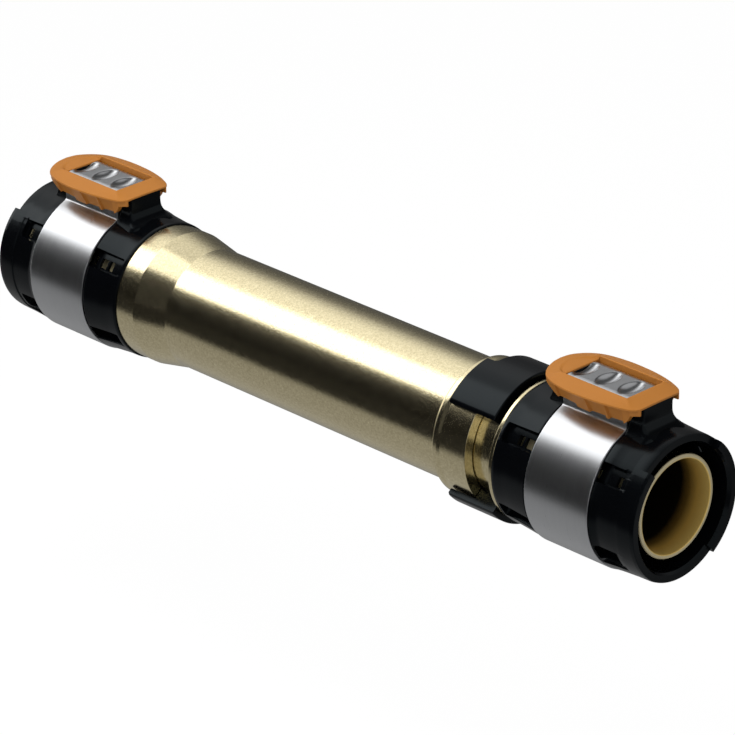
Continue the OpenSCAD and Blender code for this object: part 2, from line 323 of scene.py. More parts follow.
@dataclass(frozen=True)
class Finish:
    """A procedural finish for one of the record's material slots."""

    slot: str
    colour: Colour
    shade: Colour
    rough: tuple[float, float]
    grain: Grain
    scale: float
    coarse_scale: float
    share: float
    bump: float
    metallic: float = 0.0
    specular: float = 0.5
    tint: Colour = (1.0, 1.0, 1.0)
    inside: InsideLook | None = None

    def stretch(self) -> tuple[float, float, float]:
        """How much the grain is pressed together along X, Y and Z."""
        return (1.0, 0.04, 0.04) if self.grain is Grain.DRAWN else (1.0, 1.0, 1.0)

    def material(self) -> bpy.types.Material:
        """Makes the finish's material once and returns it.

        Returns:
            A material whose colour, roughness and bump come from the fine surface group.
        """
        name = f"finish_{self.slot}"
        found = bpy.data.materials.get(name)
        if found is not None:
            return found
        material, made = new_material(name)
        place = made.node("ShaderNodeTexCoord").outputs["Object"]
        mapping = made.node("ShaderNodeMapping", Vector=place, Scale=self.stretch())
        grain = made.node(
            "ShaderNodeGroup",
            node_tree=GrainGroup.tree(),
            Vector=mapping.outputs["Vector"],
            Scale=self.scale,
            Coarse_Scale=self.coarse_scale,
            Share=self.share,
        ).outputs
        tone = made.mix("RGBA", grain["Tone"], (*self.shade, 1.0), (*self.colour, 1.0))
        roughness = made.spread(grain["Tone"], 0, 1, *self.rough)
        metallic: Socket | float = self.metallic
        if self.inside is not None:
            tone, roughness, metallic = self.looked_inside(made, place, tone, roughness)
        bump = made.node("ShaderNodeBump", Strength=self.bump, Distance=BUMP_DEPTH, Height=grain["Height"])
        shader = made.node(
            "ShaderNodeBsdfPrincipled",
            Base_Color=tone,
            Roughness=roughness,
            Metallic=metallic,
            Specular_IOR_Level=self.specular,
            Specular_Tint=(*self.tint, 1.0),
            Normal=bump.outputs["Normal"],
        )
        made.node("ShaderNodeOutputMaterial", Surface=shader.outputs["BSDF"])
        return material

    def looked_inside(
        self, made: ShaderTree, place: Socket, tone: Socket, roughness: Socket
    ) -> tuple[Socket, Socket, Socket]:
        """Changes colour, roughness and metal on the insert and in the bore, where the colour is painted
        shade that darkens with depth from a painted orange-gold glow at the mouth.

        Args:
            made: The material's tree.
            place: The object coordinates.
            tone: The colour elsewhere.
            roughness: The roughness elsewhere.

        Returns:
            The sockets with the changed colour, roughness and metal.
        """
        look = self.inside
        left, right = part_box("body_tube")[0].x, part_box("slide_tube")[1].x
        insert, bore = (
            made.node(
                "ShaderNodeGroup",
                node_tree=InsideGroup.tree(),
                Vector=place,
                Radius=radius * MM,
                Middle=(left + right) / 2,
                Half=(right - left) / 2,
            ).outputs
            for radius in (look.insert_r, look.bore_r)
        )
        share = made.ramp(insert["Depth"], [(depth, [part] * 3) for depth, part in look.insert_share])
        where = made.math("MAXIMUM", made.math("MULTIPLY", insert["Mask"], share), bore["Mask"])
        lighter = made.mix("RGBA", where, tone, (*look.insert_colour, 1.0))
        # Painted shade: the bore's colour darkens with depth, below a painted glow at the mouth.
        painted_bore_shade = made.mix("RGBA", bore["Mask"], lighter, made.ramp(bore["Depth"], look.bore_painted_shade))
        duller = made.mix("FLOAT", where, roughness, look.rough)
        return painted_bore_shade, duller, made.spread(where, 0, 1, self.metallic, look.metallic)


BRASS = Finish(
    "brass", (0.96, 0.855, 0.555), (0.63, 0.54, 0.32), (0.13, 0.22), Grain.SPECKLED,
    scale=2000.0, coarse_scale=850.0, share=0.4, bump=0.33, metallic=1.0,
    inside=InsideLook(
        insert_r=21.3, insert_colour=(0.74, 0.64, 0.40), metallic=0.3, rough=0.36, bore_r=19.6,
        insert_share=((0.0, 1.0), (0.016, 1.0), (0.03, 0.0), (0.36, 0.0), (0.5, 1.0)),
        # Painted shade and glow in the bore, from the mouth inwards: bright orange-gold, then darker to near
        # black.
        bore_painted_shade=(
            (0.0, (1.0, 0.72, 0.22)),
            (0.24, (0.72, 0.45, 0.10)),
            (0.40, (0.20, 0.12, 0.025)),
            (0.55, (0.006, 0.004, 0.002)),
        ),
    ),
)
BLACK = Finish(
    "black_plastic", (0.0022, 0.0026, 0.0036), (0.0014, 0.0017, 0.0024), (0.16, 0.22), Grain.MOULDED,
    scale=2600.0, coarse_scale=90.0, share=0.5, bump=0.03, specular=0.17, tint=(0.80, 0.95, 1.0),
)
BAND_STEEL = Finish(
    "band_steel", (0.60, 0.61, 0.625), (0.56, 0.57, 0.585), (0.27, 0.31), Grain.DRAWN,
    scale=2400.0, coarse_scale=700.0, share=0.4, bump=0.04, metallic=1.0,
)
ORANGE = Finish(
    "orange_plastic", (0.60, 0.233, 0.043), (0.56, 0.213, 0.036), (0.42, 0.52), Grain.MOULDED,
    scale=2200.0, coarse_scale=120.0, share=0.5, bump=0.08, specular=0.3,
)
RUBBER = Finish(
    "rubber", (0.02, 0.02, 0.02), (0.014, 0.014, 0.014), (0.45, 0.6), Grain.MOULDED,
    scale=1800.0, coarse_scale=300.0, share=0.4, bump=0.1,
)
WHITE = Finish(
    "white_plastic", (0.80, 0.80, 0.76), (0.74, 0.74, 0.70), (0.35, 0.45), Grain.MOULDED,
    scale=1800.0, coarse_scale=200.0, share=0.4, bump=0.05,
)
SPRING = Finish(
    "spring_steel", (0.52, 0.52, 0.53), (0.44, 0.44, 0.45), (0.3, 0.4), Grain.DRAWN,
    scale=1800.0, coarse_scale=500.0, share=0.4, bump=0.05, metallic=1.0,
)


@dataclass
class Surface:
    """Vertices in millimetres and the faces over them, some with four corners and some with more."""

    points: np.ndarray
    quads: np.ndarray
    caps: list[np.ndarray] = field(default_factory=list)

    def volume(self) -> float:
        """The signed volume inside the quads, which is positive if they face outwards."""
        a, b, c, d = (self.points[self.quads[:, k]] for k in range(4))
        return float(np.einsum("ij,ij->", a, np.cross(b, c) + np.cross(c, d))) / 6

    def outward(self) -> "Surface":
        """The same surface with its faces turned to point outwards."""
        if self.volume() < 0:
            return Surface(self.points, self.quads[:, ::-1], [cap[::-1] for cap in self.caps])
        return self


def grid(points: np.ndarray, wrap_u: bool, wrap_v: bool, cap_u: bool = False) -> Surface:
    """A surface over a grid of points, where each cell between four neighbours is one face.

    Args:
        points: The grid, as rows along u, columns along v and three coordinates.
        wrap_u: Whether the last row joins the first.
        wrap_v: Whether the last column joins the first.
        cap_u: Whether the first and last rows are closed by a face each.

    Returns:
        The surface with its faces turned outwards.
    """
    rows, columns = points.shape[:2]
    index = np.arange(rows * columns).reshape(rows, columns)
    below = np.roll(index, -1, axis=0) if wrap_u else index[1:]
    here = index if wrap_u else index[:-1]
    if wrap_v:
        here_next, below_next = np.roll(here, -1, axis=1), np.roll(below, -1, axis=1)
    else:
        here, here_next, below, below_next = here[:, :-1], here[:, 1:], below[:, :-1], below[:, 1:]
    quads = np.stack([here, below, below_next, here_next], axis=-1).reshape(-1, 4)
    caps = [index[0], index[-1][::-1]] if cap_u else []
    return Surface(points.reshape(-1, 3), quads, caps).outward()


def polar(along: np.ndarray, radius: np.ndarray, turn: np.ndarray) -> np.ndarray:
    """Points at a place along X, a radius and an angle in radians from the top to the front."""
    along, radius, turn = np.broadcast_arrays(along, radius, turn)
    return np.stack([along, -radius * np.sin(turn), radius * np.cos(turn)], axis=-1)


def rounded(outline: Sequence[Sequence[float]], radius: float, steps: int = 4) -> np.ndarray:
    """A closed outline with each corner replaced by a short curve.

    The curve at a corner is the parabola between the points that lie the radius away on
    both edges, or 0.45 of an edge where that is shorter.

    Args:
        outline: The corners, as pairs of numbers.
        radius: How far from its corner a curve starts.
        steps: How many pieces a curve has.

    Returns:
        The points of the rounded outline.
    """
    corner = np.asarray(outline, float)
    before = np.roll(corner, 1, axis=0) - corner
    after = np.roll(corner, -1, axis=0) - corner
    length_before = np.linalg.norm(before, axis=1, keepdims=True)
    length_after = np.linalg.norm(after, axis=1, keepdims=True)
    start = corner + before / length_before * np.minimum(radius, 0.45 * length_before)
    end = corner + after / length_after * np.minimum(radius, 0.45 * length_after)
    t = np.linspace(0, 1, steps + 1)[None, :, None]
    curve = (1 - t) ** 2 * start[:, None] + 2 * t * (1 - t) * corner[:, None] + t**2 * end[:, None]
    return curve.reshape(-1, 2)


def flowing(knots: Sequence[Sequence[float]], pieces: int = 6) -> np.ndarray:
    """A smooth curve through knots, with a cubic between each two of them.

    Args:
        knots: The points that the curve passes, as pairs of numbers.
        pieces: How many pieces each stretch has.

    Returns:
        The points of the curve.
    """
    knot = np.asarray(knots, float)
    padded = np.concatenate([[2 * knot[0] - knot[1]], knot, [2 * knot[-1] - knot[-2]]])
    p0, p1, p2, p3 = padded[:-3], padded[1:-2], padded[2:-1], padded[3:]
    t = np.linspace(0, 1, pieces, endpoint=False)[None, :, None]
    p0, p1, p2, p3 = (p[:, None, :] for p in (p0, p1, p2, p3))
    curve = 0.5 * (
        2 * p1
        + (p2 - p0) * t
        + (2 * p0 - 5 * p1 + 4 * p2 - p3) * t**2
        + (3 * p1 - p0 - 3 * p2 + p3) * t**3
    )
    return np.concatenate([curve.reshape(-1, 2), knot[-1:]])


def lines(
    low: float, high: float, coarse: float, stops: Iterable[float], fine: Sequence[float]
) -> np.ndarray:
    """Grid lines over a span, close together at each stop and wider apart elsewhere.

    Args:
        low: The first line.
        high: The last line.
        coarse: About how far apart the lines lie away from the stops.
        stops: The places that get close lines.
        fine: How far from a stop its close lines lie.

    Returns:
        The places of the lines, in order.
    """
    near = (np.asarray(list(stops))[:, None] + np.asarray(fine)[None, :]).ravel()
    near = np.concatenate([near, [low, high]])
    near = near[(near >= low) & (near <= high)]
    even = np.linspace(low, high, max(2, round((high - low) / coarse) + 1))
    apart = np.abs(even[:, None] - near[None, :]).min(axis=1) > 0.45 * coarse
    return np.unique(np.round(np.concatenate([even[apart], near]), 4))


def smooth_step(value: np.ndarray) -> np.ndarray:
    """Goes from 0 to 1 in a soft S as the value goes from 0 to 1."""
    t = np.clip(value, 0, 1)
    return t * t * (3 - 2 * t)


def mesh_object(
    name: str, points: np.ndarray, faces: Sequence[Sequence[int]], material: bpy.types.Material
) -> bpy.types.Object:
    """Puts a mesh into the scene, with its points given in millimetres."""
    mesh = bpy.data.meshes.new(name)
    mesh.from_pydata((points * MM).tolist(), [], faces)
    mesh.materials.append(material)
    made = bpy.data.objects.new(name, mesh)
    bpy.context.scene.collection.objects.link(made)
    return made


def make_piece(
    name: str, surface: Surface, finish: Finish, replaces: str = "", sharp: float = 40.0
) -> None:
    """Puts a surface into the scene as a finished piece that rides on the coupling.

    Args:
        name: The piece's name.
        surface: Its surface, in millimetres.
        finish: Its finish.
        replaces: The CAD node that it stands for, if any.
        sharp: The angle in degrees from which an edge stays sharp.
    """
    faces = surface.quads.tolist() + [cap.tolist() for cap in surface.caps]
    piece = mesh_object(name, surface.points, faces, finish.material())
    piece.data.validate()
    piece.data.shade_smooth()
    piece.data.set_sharp_from_angle(angle=math.radians(sharp))
    piece.modifiers.new("even_normals", "WEIGHTED_NORMAL").keep_sharp = True
    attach(piece, BODY)
    if replaces:
        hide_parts(replaces)
    LOG.info("piece %s has %d faces", name, len(faces))


@dataclass(frozen=True)
class Insert:
    """The outer line of a press insert, counted outwards from the middle of its band."""

    radius: float = 20.8
    bore: float = 18.4
    foot_r: float = 25.0
    stop: float = -31.0
    tip: float = 33.2
    seal_place: float = 8.0
    groove: float = 1.25
    groove_half: float = 1.1
    barb: float = 0.35
    barbs: tuple[float, ...] = (-22.0, -20.0, -18.0)

    def line(self, root: float) -> list[list[float]]:
        """The corners from the root to the inside of the mouth, as radius and place.

        Args:
            root: Where the insert leaves its collar or flange.

        Returns:
            Pairs of radius and distance outwards.
        """
        r, g, half, foot = self.radius, self.radius - self.groove, self.groove_half, self.foot_r
        points = [[foot, root], [foot, root + 1.2], [foot - 1.5, root + 1.2], [foot - 1.5, root + 2.9]]
        points += [[foot, root + 2.9], [foot, self.stop], [r, self.stop]]
        for tooth in self.barbs:
            points += [[r, tooth], [r - self.barb, tooth + 0.8], [r, tooth + 1.0]]
        for place in (-self.seal_place, self.seal_place):
            points += [[r, place - half], [g, place - half], [g, place + half], [r, place + half]]
        points += [[r, self.tip - 0.35], [r - 0.35, self.tip], [self.bore + 0.8, self.tip]]
        return points + [[self.bore + 0.6, self.tip - 0.3], [self.bore, self.tip - 12]]


@dataclass
class TurnedBrass:
    """The three turned brass pieces: body, end collar and sliding tube."""

    gauge: Gauge
    insert: Insert = Insert()
    slide_r: float = 23.3
    tube_r: float = 25.5
    left_collar_r: float = 28.5
    left_collar: float = 10.4
    cone: float = 15.8
    collar_step: float = 0.3
    seal_places: tuple[float, float] = (0.9, 5.7)
    seal_groove: float = 2.8
    corner: float = 0.25
    facets: int = 224

    def turned(self, name: str, line: Sequence[Sequence[float]], replaces: str) -> None:
        """Turns a closed line about X, with small curves at its corners.

        Args:
            name: The piece's name.
            line: The corners of the line, as radius and place along X.
            replaces: The CAD node that the piece stands for.
        """
        outline = rounded(line, self.corner, 3)
        turn = np.linspace(0, 2 * math.pi, self.facets, endpoint=False)[:, None]
        surface = grid(polar(outline[None, :, 1], outline[None, :, 0], turn), True, True)
        make_piece(name, surface, BRASS, replaces)

    def placed(self, middle: float, side: Side, root: float) -> list[list[float]]:
        """The insert's line at one end of the coupling."""
        return [[r, middle + side.value * place] for r, place in self.insert.line(root)]

    def body_line(self) -> list[list[float]]:
        """The body's line: left insert, collar, cone, middle tube, step and spigot."""
        g, tube = self.gauge, self.tube_r
        left_root = g.left_x - g.root
        collar_end = left_root + self.left_collar
        cone_end = collar_end + self.cone
        x = g.shoulder
        chamber, throat = self.slide_r + 0.6, self.slide_r + 0.15
        floor, spigot = self.slide_r + 2.4, self.slide_r + 3.4
        points = self.placed(g.left_x, Side.LEFT, g.root)
        points += [[self.insert.bore, collar_end], [chamber, cone_end - 5]]
        points += [[chamber, x - 1.4], [throat, x - 0.9]]
        for place in self.seal_places:
            start, stop = x + place, x + place + self.seal_groove
            points += [[throat, start], [floor, start], [floor, stop], [throat, stop]]
        points += [[throat, x + 11.2], [spigot, x + 11.2], [spigot, x - 0.05], [spigot + 0.7, x - 0.05]]
        points += [[spigot + 0.7, x - 0.8], [tube + 0.2, x - 2.2], [tube, x - 2.5], [tube, cone_end]]
        return points + [[self.left_collar_r, collar_end], [self.left_collar_r, left_root]]

    def collar_line(self) -> list[list[float]]:
        """The end collar's line, with its raised left edge and the lip over the guide ring."""
        g, inside, lip = self.gauge, self.slide_r + 3.42, self.slide_r + 0.3
        raised = g.collar_r + self.collar_step
        points = [[raised, g.shoulder], [raised, g.shoulder + 2.1], [g.collar_r, g.shoulder + 3.5]]
        points += [[g.collar_r, g.gap_end], [lip, g.gap_end], [lip, g.gap_end - 3.4]]
        return points + [[inside, g.gap_end - 3.4], [inside, g.shoulder]]

    def slide_line(self) -> list[list[float]]:
        """The sliding tube's line: right insert, flange and slide with its ring groove."""
        g, r, wall, end = self.gauge, self.slide_r, self.slide_r - 2.4, self.gauge.slide_end
        face = g.right_x + g.root
        points = self.placed(g.right_x, Side.RIGHT, g.root)
        points += [[self.insert.bore, face + 3], [wall, g.flange_back - 6], [wall, end], [r, end]]
        points += [[r, end + 3], [r - 1.3, end + 3], [r - 1.3, end + 4.6], [r, end + 4.6]]
        return points + [[r, g.flange_back], [g.flange_r, g.flange_back], [g.flange_r, face]]

    def build(self) -> None:
        """Makes the three pieces."""
        self.turned("body_turned", self.body_line(), "body_tube")
        self.turned("collar_turned", self.collar_line(), "end_collar")
        self.turned("slide_turned", self.slide_line(), "slide_tube")


@dataclass
class LockClip:
    """The black clip over the end collar, open to the front."""

    gauge: Gauge
    half_open: float = 39.0
    back_width: float = 18.8
    over_collar: float = 28.5
    rib_r: float = 23.42
    notch_y: float = -2.9
    notch_round: float = 2.0
    corner: float = 0.5
    close_lines: tuple[float, ...] = (-0.06, -0.04, -0.02, -0.004, 0.0, 0.002, 0.02)
    end_round: float = 0.6

    def section(self) -> np.ndarray:
        """The clip's rounded section, as radius and place along X from its right edge."""
        g, over = self.gauge, self.over_collar
        rib, width = g.clip_right - (g.gap_end + 0.35), g.clip_right - g.clip_left
        line = [[over, -width], [g.clip_r, -width], [g.clip_r, 0.0], [self.rib_r, 0.0], [self.rib_r, -rib]]
        return rounded(line + [[over, -rib]], self.corner, 5)

    def left_edge(self, turn: np.ndarray) -> np.ndarray:
        """How far the left edge is drawn in at an angle, with a round corner at the notch."""
        cut = self.gauge.clip_right - self.back_width - self.gauge.clip_left
        y = -self.gauge.clip_r * np.sin(turn)
        t = np.clip((y - self.notch_y - self.notch_round) / -self.notch_round, 0, 1)
        drawn = cut - self.notch_round * (1 - np.sqrt(1 - t * t))
        return np.where(y < self.notch_y, 0.0, drawn)

    def build(self) -> None:
        """Makes the clip: its section carried round X, with the left edge moved by angle."""
        g = self.gauge
        start, end = math.radians(90 + self.half_open), math.radians(450 - self.half_open)
        step = math.asin(-self.notch_y / g.clip_r)
        turn = lines(start, end, 0.03, [math.pi - step, 2 * math.pi + step], self.close_lines)
        section = self.section()
        width = g.clip_right - g.clip_left
        near_left = np.clip(-section[:, 1] / width * 4 - 3, 0, 1)
        along = g.clip_right + section[None, :, 1] + near_left * self.left_edge(turn)[:, None]
        ends = np.minimum(np.abs(turn - start), np.abs(turn - end))[:, None] * g.clip_r
        middle = (g.clip_r + self.over_collar) / 2
        pull = 1 - 0.35 * np.clip(1 - ends / self.end_round, 0, 1) ** 2
        radius = middle + (section[None, :, 0] - middle) * np.where(section[:, 0] > middle, pull, 1.0)
        points = polar(along, radius, turn[:, None])
        make_piece("clip_moulding", grid(points, False, True, cap_u=True), BLACK, "lock_clip")


@dataclass
class EndPart:
    """What the three parts of a press end share: the gauge and the end that they sit on."""

    gauge: Gauge
    side: Side

    @property
    def middle(self) -> float:
        """Where the middle of this end's band lies along X."""
        return self.gauge.right_x if self.side is Side.RIGHT else self.gauge.left_x

    def make(
        self, name: str, surface: Surface, finish: Finish, replaces: str = "", sharp: float = 40.0
    ) -> None:
        """Makes a piece, with the end's name before its own name and that of its CAD node."""
        end = self.side.name.lower()
        make_piece(f"{end}_{name}", surface, finish, replaces and f"{end}_{replaces}", sharp)


@dataclass
class Holder(EndPart):
    """A black pipe holder: its pocketed sleeve and the two pedestals under the indicator."""

    bore: float = 25.4
    seat_r: float = 29.35
    pocket_floor: float = 26.7
    step_floor: float = 29.1
    step_turn: tuple[float, float] = (47.0, 134.0)
    soft: float = 0.15
    pockets: tuple[tuple[float, float], ...] = ((47.0, 62.0), (115.0, 130.0))
    window_turn: tuple[float, float] = (52.0, 60.5)
    windows: tuple[tuple[float, float], ...] = (
        (12.2, 15.2), (23.4, 26.1), (-17.0, -14.9), (-23.0, -19.2), (-26.8, -24.1)
    )
    ring_width: float = 8.3
    pocket_short: float = 2.0
    pocket_round: float = 0.9
    set_back: float = 2.8
    foot_set_back: float = 1.8
    set_back_top: float = 42.0
    set_back_foot: float = 144.0
    lip: tuple[float, float] = (1.3, 2.8)
    lip_depth: float = 1.75
    close_places: tuple[float, ...] = (-0.16, -0.07, 0.0, 0.07, 0.16)
    close_turns: tuple[float, ...] = (-0.32, -0.15, 0.0, 0.15, 0.32)
    pedestal_reach: float = 7.05
    pedestal_corner: float = 0.9

    def outer_line(self) -> np.ndarray:
        """The sleeve's outer line, as distance outwards and radius."""
        g, r, edge = self.gauge, self.seat_r, self.gauge.band_edge
        seat = [[edge + 0.1, r], [edge + 0.15, r + 0.7], [edge + 0.35, r + 0.95]]
        seat += [[edge + 0.95, r + 1.05], [edge + 6.05, r + 0.55]]
        inwards = [[-place, radius] for place, radius in seat[::-1]]
        outer_end = [[g.ring_end - self.ring_width, r + 0.15], [g.ring_end, r - 0.05]]
        return np.array([[g.root + 0.1, r - 0.15], [g.root + 5.5, r - 0.05], *inwards, *seat, *outer_end])

    def within(self, value: np.ndarray, low: float, high: float, soft: float) -> np.ndarray:
        """1 inside a span and 0 outside it, with a soft edge centred on each of its ends."""
        inside = np.minimum(value - low, high - value)
        return smooth_step(inside / (2 * soft) + 0.5)

    def pocket(
        self, place: np.ndarray, across: np.ndarray, ends: tuple[float, float], turns: tuple[float, float]
    ) -> np.ndarray:
        """1 inside a pocket and 0 outside it: a rectangle with round corners and a soft edge.

        The distance to the edge is that to a smaller rectangle less the corner's radius,
        with angles counted as lengths on the holder's seat.

        Args:
            place: Distance outwards.
            across: Angle from the top, in degrees.
            ends: Where the pocket starts and ends.
            turns: Its first and last angle.

        Returns:
            The share of the pocket's depth at each point.
        """
        arc = math.radians(1.0) * self.seat_r
        dx, dy = (
            np.abs(value - (low + high) / 2) * scale - (high - low) * scale / 2 + self.pocket_round
            for value, (low, high), scale in ((place, ends, 1.0), (across, turns, arc))
        )
        outside = np.hypot(np.maximum(dx, 0), np.maximum(dy, 0))
        distance = outside + np.minimum(np.maximum(dx, dy), 0) - self.pocket_round
        return smooth_step(0.5 - distance / (2 * self.soft))

    def sleeve(self) -> Surface:
        """The sleeve as two fields of radius over distance and angle, with cells left out.

        The outer radius follows the outer line, drops to the pocket floor inside the
        pockets and to the step floor in front of the end ring, and curves in at the ends.
        Cells at the windows and where the end ring is set back are left out, and each edge
        of what remains gets a wall between the outer and the inner field.

        Returns:
            The closed sleeve.
        """
        g = self.gauge
        low, high = g.root + 0.1, g.ring_end
        foot = high - self.ring_width
        pocket_ends = (g.root + 2, foot - self.pocket_short)
        back, foot_back = high - self.set_back, high - self.foot_set_back
        stops = [low, *pocket_ends, -g.band_edge - 0.1, g.band_edge + 0.1, foot, back, foot_back, high]
        stops += [end for window in self.windows for end in window]
        lip = [g.root + edge + more for edge in self.lip for more in (0.0, 0.02)]
        w = np.unique(np.concatenate([lines(low, high, 1.6, stops, self.close_places), lip]))
        turns = [turn for pocket in self.pockets for turn in pocket]
        turns += [*self.step_turn, self.set_back_top, self.set_back_foot, *self.window_turn]
        turns += [360 - turn for turn in turns]
        degrees = lines(0.0, 360.0, 2.5, turns, self.close_turns)[:-1]
        across = np.minimum(degrees, 360 - degrees)[None, :]
        turn, place = np.radians(degrees)[None, :], w[:, None]
        outer_line = self.outer_line()
        outer = np.interp(w, outer_line[:, 0], outer_line[:, 1])[:, None] + 0 * turn
        step = self.within(place, g.band_edge + 0.85, foot, self.soft)
        step = step * self.within(across, *self.step_turn, math.degrees(self.soft / self.seat_r))
        outer = np.minimum(outer, outer + (self.step_floor - outer) * step)
        for pocket_turns in self.pockets:
            cut = self.pocket(place, across, pocket_ends, pocket_turns)
            outer = outer + (self.pocket_floor - outer) * cut
        end = np.where(across < self.set_back_top, back, high)
        end = np.where(across > self.set_back_foot, foot_back, end)
        curve = np.clip(0.5 - np.minimum(end - place, place - low), 0, 0.5)
        outer = outer - (0.5 - np.sqrt(0.25 - curve**2))
        inner = self.bore + np.clip(1 - (end - place), 0, 1)
        on_lip = (place >= g.root + self.lip[0] + 0.01) & (place <= g.root + self.lip[1] + 0.01)
        inner = np.where(on_lip, self.bore - self.lip_depth, inner)
        cell_w = ((w[1:] + w[:-1]) / 2)[:, None]
        cell_turn = (degrees + np.append(degrees[1:], 360.0)) / 2
        cell_across = np.minimum(cell_turn, 360 - cell_turn)[None, :]
        kept = np.ones((len(cell_w), len(degrees)), bool)
        between = (cell_across > self.window_turn[0]) & (cell_across < self.window_turn[1])
        for start, stop in self.windows:
            kept &= ~(between & (cell_w > start) & (cell_w < stop))
        kept &= ~((cell_across < self.set_back_top) & (cell_w > back))
        kept &= ~((cell_across > self.set_back_foot) & (cell_w > foot_back))
        along = self.middle + self.side.value * place
        return self.shell(polar(along, outer, turn), polar(along, inner, turn), kept)

    @staticmethod
    def shell(outer: np.ndarray, inner: np.ndarray, kept: np.ndarray) -> Surface:
        """Two grids that wrap round, joined by walls at the edges of the cells that are kept.

        Args:
            outer: The outer grid of points.
            inner: The inner grid of points.
            kept: Which cells stay, one row fewer than the grids.

        Returns:
            One closed surface.
        """
        rows, columns = outer.shape[:2]
        under = rows * columns
        index = np.arange(under).reshape(rows, columns)
        right = np.roll(index, -1, axis=1)
        a, b = index[:-1], index[1:]
        top = np.stack([a, b, right[1:], right[:-1]], axis=-1)[kept]
        empty = np.zeros((1, columns), bool)
        padded = np.concatenate([empty, kept, empty])
        left_cell = np.roll(kept, 1, axis=1)
        edges = (
            (index, right, padded[1:] & ~padded[:-1]),
            (right, index, padded[:-1] & ~padded[1:]),
            (b, a, kept & ~left_cell),
            (a, b, left_cell & ~kept),
        )
        walls = [np.stack([p, q, q + under, p + under], axis=-1)[where] for p, q, where in edges]
        quads = np.concatenate([top, (top + under)[:, ::-1], *walls])
        points = np.concatenate([outer.reshape(-1, 3), inner.reshape(-1, 3)])
        used, renumbered = np.unique(quads, return_inverse=True)
        return Surface(points[used], renumbered.reshape(-1, 4)).outward()

    def pedestal(self, way: int) -> Surface:
        """A pedestal as a stack of rounded rectangles that widen down to the sleeve.

        Its half width and its reach are smooth curves of the height, and below the sleeve's
        skin each point is lifted to a cylinder inside the wall.

        Args:
            way: 1 for the pedestal outwards of the band and -1 for the one inwards.

        Returns:
            The closed pedestal.
        """
        g, r, start = self.gauge, self.seat_r, self.pedestal_reach
        under_right_end = way * self.side.value > 0
        seat = g.plate_top - (2.65 if under_right_end else 1.9)
        flare = 1.0 if under_right_end else 0.3
        half = g.lug_half - 1.7
        height = np.concatenate([seat - np.array([0, 0.06, 0.2, 0.4]), np.linspace(seat - 0.8, r - 2.5, 28)])
        inset = np.array([0.5, 0.25, 0.08, 0.0] + [0.0] * 28)
        flank = ((6.05, 0.0), (4.05, 0.2), (2.25, 0.7), (0.25, 1.8), (-1.2, 2.9), (-2.55, 4.0))
        face = ((4.55, 0.0), (3.1, 0.3), (2.0, 0.9), (1.1, 1.8), (0.3, 3.2), (-0.6, 5.2))
        half_width, reach = (
            self.widening(height, seat, first, [(r + up, first + flare * out) for up, out in curve]) - inset
            for first, curve in ((half, flank), (start, face))
        )
        near, tight = 0.15 + inset, np.full((len(height), 1), self.pedestal_corner)
        corner = np.clip(tight + 0.7 * (reach + inset - start)[:, None], self.pedestal_corner, 3.2)
        around = np.linspace(0, math.pi / 2, 8)
        points = []
        for sign_x, sign_y, quarter in ((1, 1, 0), (-1, 1, 1), (-1, -1, 2), (1, -1, 3)):
            angle = around + quarter * math.pi / 2
            bend = corner if sign_x > 0 else tight
            x = (reach if sign_x > 0 else near)[:, None] - sign_x * bend + bend * np.cos(angle)
            y = sign_y * (half_width[:, None] - bend) + bend * np.sin(angle)
            points.append(np.stack([x, y], axis=-1))
        ring = np.concatenate(points, axis=1)
        share = np.linspace(0, 1, 4, endpoint=False)[None, None, :, None]
        ring = ring[:, :, None] * (1 - share) + np.roll(ring, -1, axis=1)[:, :, None] * share
        ring = ring.reshape(len(height), -1, 2)
        deep = self.bore + 1.6
        z = np.maximum(height[:, None], np.sqrt(np.maximum(deep**2 - ring[..., 1] ** 2, 0)))
        x = self.middle + way * self.side.value * (g.band_edge + ring[..., 0])
        return grid(np.stack([x, ring[..., 1], z], axis=-1), False, True, cap_u=True)

    @staticmethod
    def widening(
        height: np.ndarray, seat: float, first: float, knots: Sequence[tuple[float, float]]
    ) -> np.ndarray:
        """A pedestal's size at each height, on a smooth curve that starts at its seat."""
        curve = flowing([[seat, first], *knots])[::-1]
        return np.interp(height, curve[:, 0], curve[:, 1])

    def build(self) -> None:
        """Makes the sleeve and both pedestals."""
        self.make("sleeve", self.sleeve(), BLACK, "holder", sharp=48.0)
        self.make("pedestal_outer", self.pedestal(1), BLACK)
        self.make("pedestal_inner", self.pedestal(-1), BLACK)


